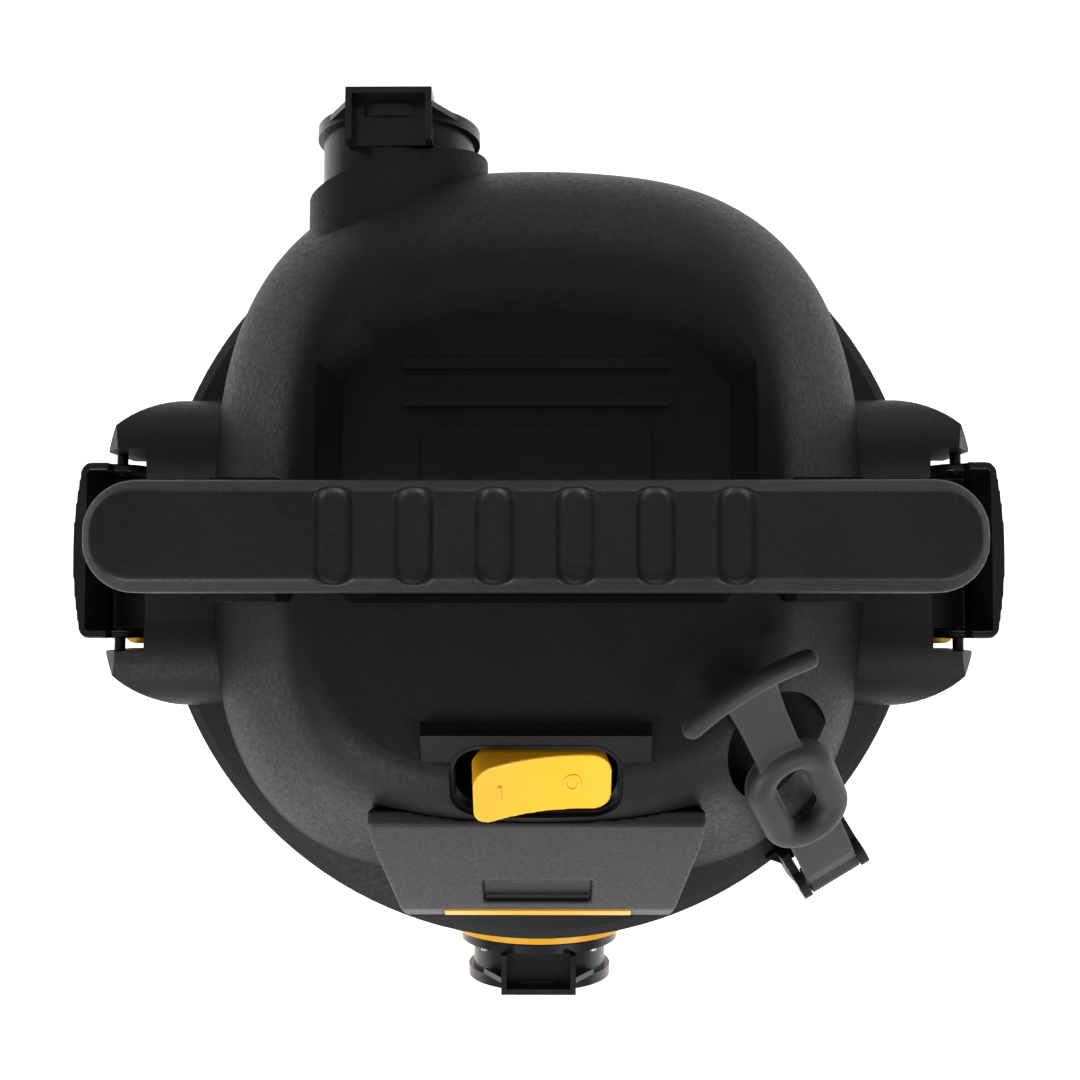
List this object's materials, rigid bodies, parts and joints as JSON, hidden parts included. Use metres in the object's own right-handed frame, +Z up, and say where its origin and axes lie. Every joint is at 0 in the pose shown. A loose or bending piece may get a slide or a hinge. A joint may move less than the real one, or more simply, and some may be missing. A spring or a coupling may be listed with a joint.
{
  "type": "shop vacuum",
  "caption": "Portable wet/dry shop vacuum: drum tank on swivel casters, lift-off motor head with carry handle, over-centre latches, rocker switch, inlet and blower ports.",
  "frame": {"origin": "on the floor, under the tank's axis", "axes": "+Z up; -Y towards the front, where the inlet port and the switch are; +X to the right seen from the front"},
  "size_m": [0.411, 0.4155, 0.505],
  "materials": {
    "tank_yellow": "semi-gloss moulded polypropylene",
    "black_plastic": "fine spark-eroded texture",
    "gloss_black": "smooth satin gloss",
    "rubber": "matte",
    "foam": "closed-cell foam",
    "label_yellow": "satin",
    "rocker_yellow": "satin",
    "grey_plastic": "plain moulded",
    "steel": "zinc plated",
    "lamination": "laminated steel",
    "copper": "enamelled copper",
    "carbon": "sintered carbon",
    "aluminium": "spun",
    "float_plastic": "hollow moulding",
    "filter_paper": "pleated paper",
    "wheel_plastic": "hard rubber tread"
  },
  "bodies": {
    "tank": {"tank": "tank_yellow", "inlet_port": "gloss_black", "inlet_gasket": "rubber", "inlet_deflector": "black_plastic", "tank_screws": "steel", "caster_foot_front_left": "black_plastic", "caster_foot_front_right": "black_plastic", "caster_foot_rear_left": "black_plastic", "caster_foot_rear_right": "black_plastic"},
    "power_head": {"lid_collar": "black_plastic", "lid_gasket": "foam", "latch_pins": "steel", "strap_pin": "steel", "motor_cover": "black_plastic", "name_plate": "black_plastic", "front_fascia": "black_plastic", "front_label": "label_yellow", "handle_upper": "black_plastic", "handle_lower": "black_plastic", "head_screws": "steel", "switch_bezel": "gloss_black", "switch_module": "black_plastic", "blower_port": "gloss_black", "cord_inlet": "rubber", "fan_housing": "grey_plastic", "exhaust_duct": "grey_plastic", "bearings": "steel", "stator_core": "lamination", "field_coils": "copper", "motor_frame": "grey_plastic", "carbon_brushes": "carbon", "float_cage": "black_plastic", "filter_pleats": "filter_paper", "filter_rim": "rubber", "filter_base": "rubber"},
    "rotor": {"motor_shaft": "steel", "armature_core": "lamination", "commutator": "copper", "cooling_fan": "grey_plastic", "impeller": "aluminium", "impeller_nut": "steel"},
    "rocker": {"rocker": "rocker_yellow"},
    "latch_left": {"latch_left": "gloss_black"},
    "latch_right": {"latch_right": "gloss_black"},
    "strap": {"rubber_strap": "rubber"},
    "float": {"float_ball": "float_plastic"},
    "filter_lock": {"filter_lock": "black_plastic"},
    "swivel_front_left": {"caster_fork_front_left": "black_plastic", "caster_axle_front_left": "steel"},
    "wheel_front_left": {"caster_wheel_front_left": "wheel_plastic"},
    "swivel_front_right": {"caster_fork_front_right": "black_plastic", "caster_axle_front_right": "steel"},
    "wheel_front_right": {"caster_wheel_front_right": "wheel_plastic"},
    "swivel_rear_left": {"caster_fork_rear_left": "black_plastic", "caster_axle_rear_left": "steel"},
    "wheel_rear_left": {"caster_wheel_rear_left": "wheel_plastic"},
    "swivel_rear_right": {"caster_fork_rear_right": "black_plastic", "caster_axle_rear_right": "steel"},
    "wheel_rear_right": {"caster_wheel_rear_right": "wheel_plastic"}
  },
  "joints": [
    {"name": "head_lift", "type": "slide", "parent": "tank", "child": "power_head", "axis": [0, 0, 1], "range_m": [0, 0.3]},
    {"name": "rotor_spin", "type": "hinge", "parent": "power_head", "child": "rotor", "pos_m": [0, 0, 0.4], "axis": [0, 0, 1], "continuous": true},
    {"name": "rocker_tilt", "type": "hinge", "parent": "power_head", "child": "rocker", "pos_m": [0, -0.08828, 0.44481], "axis": [0, 0.8387, 0.5446], "range_deg": [-22, 0]},
    {"name": "latch_left_swing", "type": "hinge", "parent": "power_head", "child": "latch_left", "pos_m": [-0.19, 0, 0.366], "axis": [0, 1, 0], "range_deg": [0, 60]},
    {"name": "latch_right_swing", "type": "hinge", "parent": "power_head", "child": "latch_right", "pos_m": [0.19, 0, 0.366], "axis": [0, -1, 0], "range_deg": [0, 60]},
    {"name": "strap_swing", "type": "hinge", "parent": "power_head", "child": "strap", "pos_m": [0.1288, -0.1396, 0.374], "axis": [0.859, 0.512, 0], "range_deg": [0, 130]},
    {"name": "float_slide", "type": "slide", "parent": "power_head", "child": "float", "axis": [0, 0, 1], "range_m": [0, 0.0495]},
    {"name": "filter_lock_turn", "type": "hinge", "parent": "power_head", "child": "filter_lock", "pos_m": [0, 0, 0.206], "axis": [0, 0, 1], "range_deg": [0, 90]},
    {"name": "swivel_front_left_turn", "type": "hinge", "parent": "tank", "child": "swivel_front_left", "pos_m": [-0.138, -0.172, 0.06], "axis": [0, 0, 1], "continuous": true},
    {"name": "wheel_front_left_roll", "type": "hinge", "parent": "swivel_front_left", "child": "wheel_front_left", "pos_m": [-0.138, -0.16, 0.025], "axis": [1, 0, 0], "continuous": true},
    {"name": "swivel_front_right_turn", "type": "hinge", "parent": "tank", "child": "swivel_front_right", "pos_m": [0.138, -0.172, 0.06], "axis": [0, 0, 1], "continuous": true},
    {"name": "wheel_front_right_roll", "type": "hinge", "parent": "swivel_front_right", "child": "wheel_front_right", "pos_m": [0.138, -0.16, 0.025], "axis": [1, 0, 0], "continuous": true},
    {"name": "swivel_rear_left_turn", "type": "hinge", "parent": "tank", "child": "swivel_rear_left", "pos_m": [-0.138, 0.172, 0.06], "axis": [0, 0, 1], "continuous": true},
    {"name": "wheel_rear_left_roll", "type": "hinge", "parent": "swivel_rear_left", "child": "wheel_rear_left", "pos_m": [-0.138, 0.184, 0.025], "axis": [1, 0, 0], "continuous": true},
    {"name": "swivel_rear_right_turn", "type": "hinge", "parent": "tank", "child": "swivel_rear_right", "pos_m": [0.138, 0.172, 0.06], "axis": [0, 0, 1], "continuous": true},
    {"name": "wheel_rear_right_roll", "type": "hinge", "parent": "swivel_rear_right", "child": "wheel_rear_right", "pos_m": [0.138, 0.184, 0.025], "axis": [1, 0, 0], "continuous": true}
  ]
}
